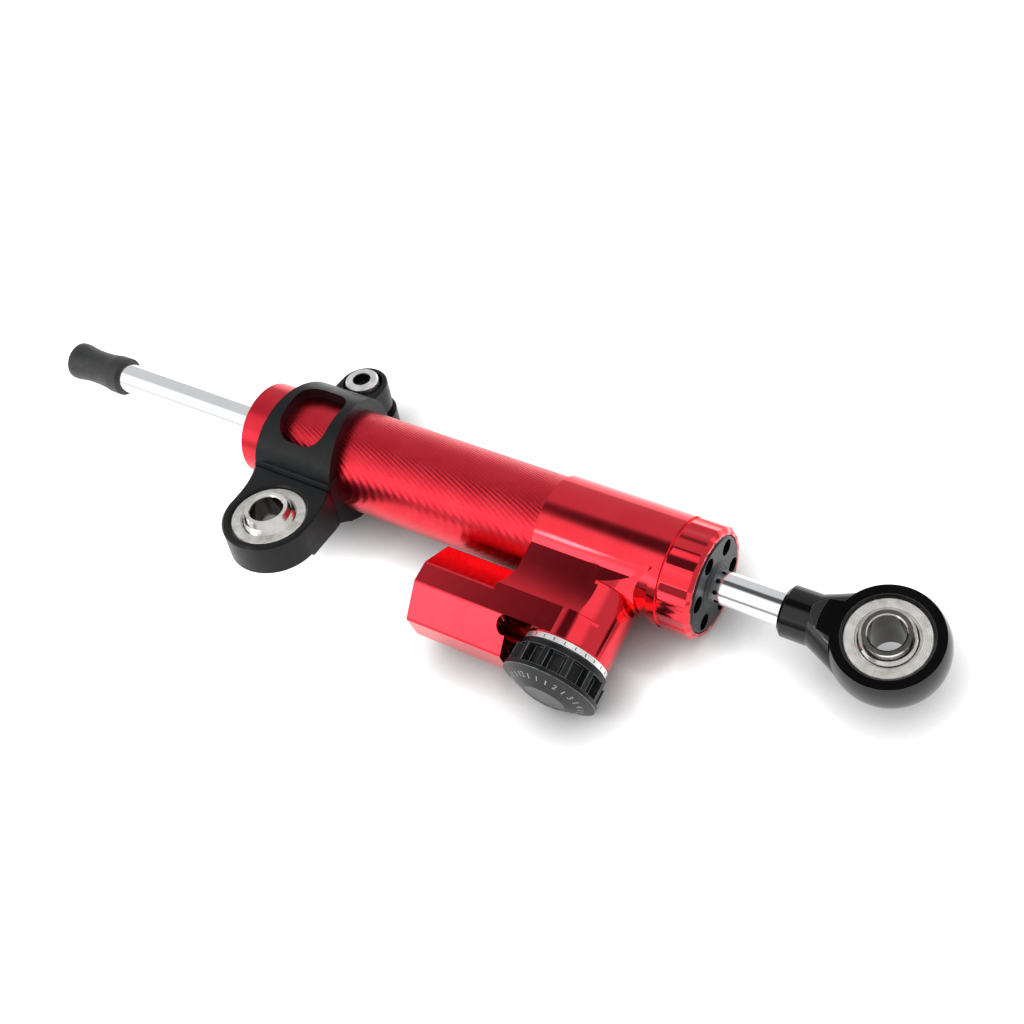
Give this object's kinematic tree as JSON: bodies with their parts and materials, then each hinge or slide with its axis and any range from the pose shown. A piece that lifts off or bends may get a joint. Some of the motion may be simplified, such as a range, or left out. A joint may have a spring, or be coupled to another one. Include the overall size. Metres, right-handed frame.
{
  "type": "steering damper",
  "caption": "Through-rod steering damper: red tube with a side reservoir and adjuster knob, clamp with a spherical bearing, rod end with a spherical bearing.",
  "frame": {"origin": "centre of the bore of the rod end's ball", "axes": "+X along the rod from the body to the rod end; +Z along the rod end's bore; -Y towards the adjuster and the reservoir"},
  "size_m": [0.2531, 0.0647, 0.0329],
  "materials": {
    "red_gloss": "glossy red anodised",
    "red_turned": "satin red anodised with fine turning lines",
    "black_anodised": "black anodised",
    "black_gland": "black anodised",
    "chrome_rod": "hard chrome, polished",
    "black_steel": "gloss black coating",
    "bearing_steel": "turned and ground",
    "bright_steel": "bright",
    "silver_ring": "satin silver anodised",
    "knob_grey": "dark grey anodised",
    "black_rubber": "moulded nitrile rubber",
    "bronze": "sintered bronze",
    "ptfe": "filled PTFE",
    "brass": "turned"
  },
  "bodies": {
    "damper": {"head_body": "red_gloss", "damper_tube": "red_turned", "rear_end_cap": "red_gloss", "head_gland": "black_gland", "head_bush": "bronze", "head_seal": "black_rubber", "head_wiper": "black_rubber", "rear_bush": "bronze", "rear_seal": "black_rubber", "rear_wiper": "black_rubber", "gland_o_ring": "black_rubber", "rear_cap_o_ring": "black_rubber", "reservoir_plug": "red_gloss", "plug_o_ring": "black_rubber", "plug_circlip": "bright_steel", "adjuster_housing": "brass", "spindle_o_ring": "black_rubber", "index_ring": "silver_ring"},
    "piston_body": {"piston": "bright_steel", "piston_band": "ptfe"},
    "rod": {"piston_rod": "chrome_rod", "piston_clips": "bright_steel", "rod_end_housing": "black_steel", "rod_end_race": "bearing_steel", "rod_bump_cap": "black_rubber"},
    "rod_ball": {"rod_end_ball": "bearing_steel"},
    "clamp": {"tube_clamp": "black_anodised", "clamp_screw": "bright_steel", "clamp_race": "bearing_steel"},
    "clamp_ball_body": {"clamp_ball": "bearing_steel"},
    "knob": {"adjuster_knob": "black_anodised", "knob_screw": "bright_steel", "knob_centre_disc": "knob_grey", "adjuster_spindle": "bright_steel", "detent_balls": "bright_steel", "detent_springs": "bright_steel"},
    "needle": {"adjuster_needle": "bright_steel"},
    "floating_piston": {"reservoir_piston": "brass", "reservoir_piston_ring": "black_rubber"}
  },
  "joints": [
    {"name": "rod_slide", "type": "slide", "parent": "damper", "child": "piston_body", "axis": [1, 0, 0], "range_m": [-0.015, 0.05]},
    {"name": "rod_turn", "type": "hinge", "parent": "piston_body", "child": "rod", "pos_m": [0, 0, 0], "axis": [1, 0, 0], "continuous": true},
    {"name": "rod_ball_turn", "type": "hinge", "parent": "rod", "child": "rod_ball", "pos_m": [0, 0, 0], "axis": [0, 0, 1], "continuous": true},
    {"name": "clamp_slide", "type": "slide", "parent": "damper", "child": "clamp", "axis": [1, 0, 0], "range_m": [0, 0.03]},
    {"name": "clamp_ball_turn", "type": "hinge", "parent": "clamp", "child": "clamp_ball_body", "pos_m": [-0.1463, -0.02788, 0.00799], "axis": [0, 0.2756, 0.9613], "continuous": true},
    {"name": "knob_turn", "type": "hinge", "parent": "damper", "child": "knob", "pos_m": [-0.0647, -0.03, 0], "axis": [0, -1, 0], "range_deg": [-360, 360]},
    {"name": "needle_slide", "type": "slide", "parent": "damper", "child": "needle", "axis": [0, -1, 0], "range_m": [-0.0005, 0.0005]},
    {"name": "reservoir_slide", "type": "slide", "parent": "damper", "child": "floating_piston", "axis": [1, 0, 0], "range_m": [-0.005, 0.006]}
  ],
  "couplings": [
    {"joint": "needle_slide", "follows": "knob_turn", "m_per_rad": 0.0000795}
  ]
}
